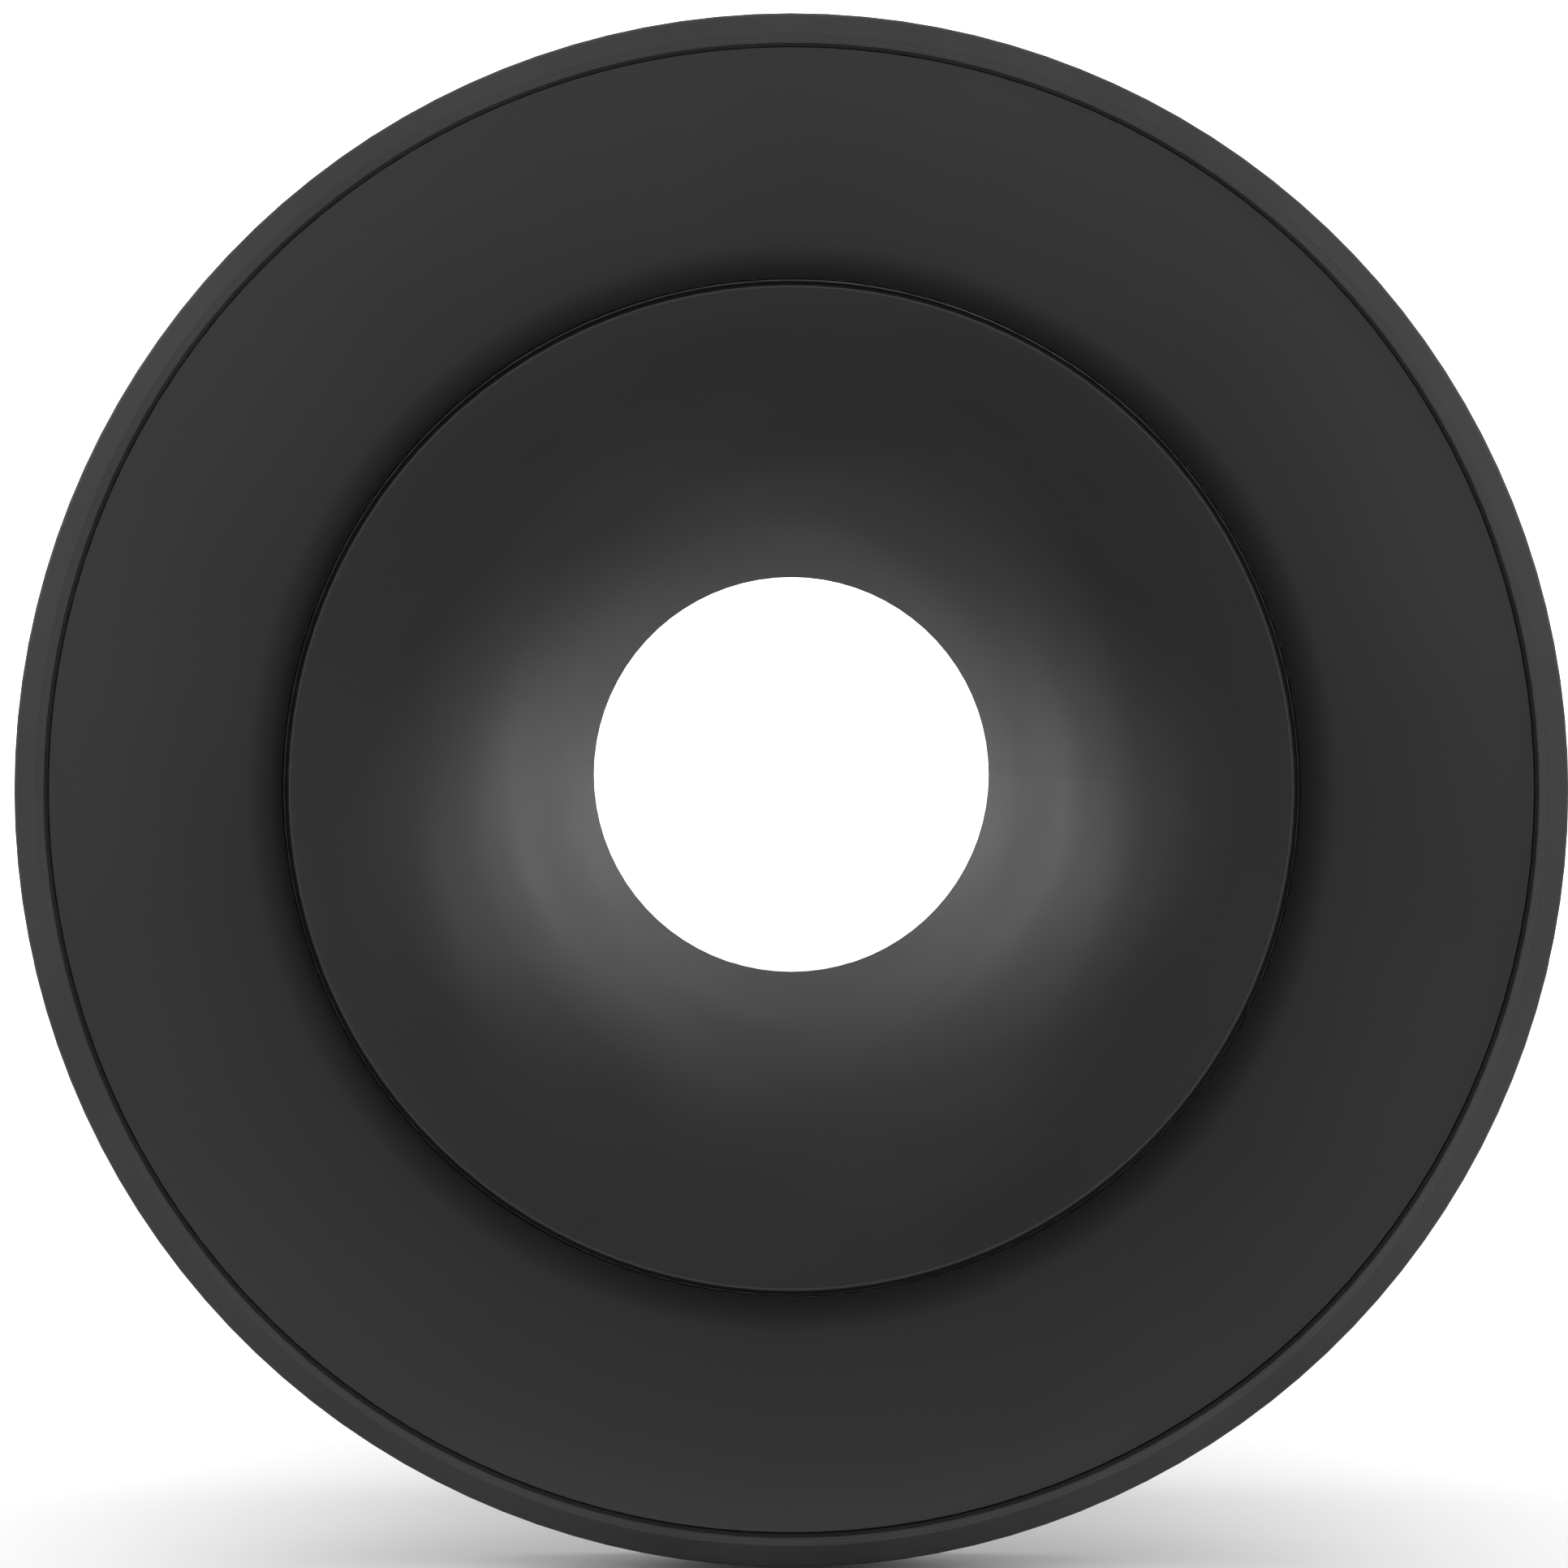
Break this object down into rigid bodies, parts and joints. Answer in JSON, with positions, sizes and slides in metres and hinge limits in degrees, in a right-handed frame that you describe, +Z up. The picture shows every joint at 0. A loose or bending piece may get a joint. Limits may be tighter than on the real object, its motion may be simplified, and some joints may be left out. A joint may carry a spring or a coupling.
{
  "type": "lighting snoot",
  "caption": "Black conical studio snoot: a round rim and bell take the lamp head, and a tapered nozzle slides in a locked collar to narrow the beam.",
  "frame": {"origin": "centre of the rim's rear face, in the bore of the lip that the lamp grips", "axes": "+Y along the light's path, from the mouth to the exit; +Z up, with the lock knob on top"},
  "size_m": [0.15, 0.202, 0.1534],
  "materials": {
    "black_shell": "satin black coating, very smooth",
    "black_ring": "turned and black anodised, satin",
    "black_screw": "black oxide",
    "zinc_steel": "zinc plated",
    "spring_steel": "blued spring steel",
    "brass": "plain turned brass",
    "nylon": "natural nylon",
    "black_plastic": "moulded, fine grain",
    "felt": "pressed felt"
  },
  "bodies": {
    "bell": {"rim_ring": "black_ring", "bell_shell": "black_shell", "bell_band": "black_shell", "rim_screws": "black_screw", "throat_flange": "black_shell", "neck_collar": "black_ring", "collar_screws": "black_screw", "collar_nuts": "zinc_steel", "light_seal": "felt", "seal_retainer": "black_ring", "retainer_screws": "black_screw", "lock_insert": "brass"},
    "nozzle": {"nozzle_cone": "black_shell", "slide_tube": "black_ring", "stop_ring": "black_ring", "support_ring": "black_ring", "tube_screws": "black_screw", "front_ring": "black_ring", "front_ring_screws": "black_screw", "grid_springs": "spring_steel", "spring_rivets": "zinc_steel"},
    "pad": {"lock_pad": "nylon"},
    "thumbscrew": {"lock_shank": "zinc_steel", "lock_washer": "zinc_steel", "lock_knob": "black_plastic", "knob_cap": "black_plastic"}
  },
  "joints": [
    {"name": "nozzle_slide", "type": "slide", "parent": "bell", "child": "nozzle", "axis": [0, 1, 0], "range_m": [0, 0.017]},
    {"name": "lock_feed", "type": "slide", "parent": "bell", "child": "pad", "axis": [0, 0, 1], "range_m": [0, 0.003]},
    {"name": "lock_turn", "type": "hinge", "parent": "pad", "child": "thumbscrew", "pos_m": [0, 0.0585, 0.06], "axis": [0, 0, 1], "range_deg": [0, 1080]}
  ],
  "couplings": [
    {"joint": "lock_feed", "follows": "lock_turn", "m_per_rad": 0.00015915}
  ]
}
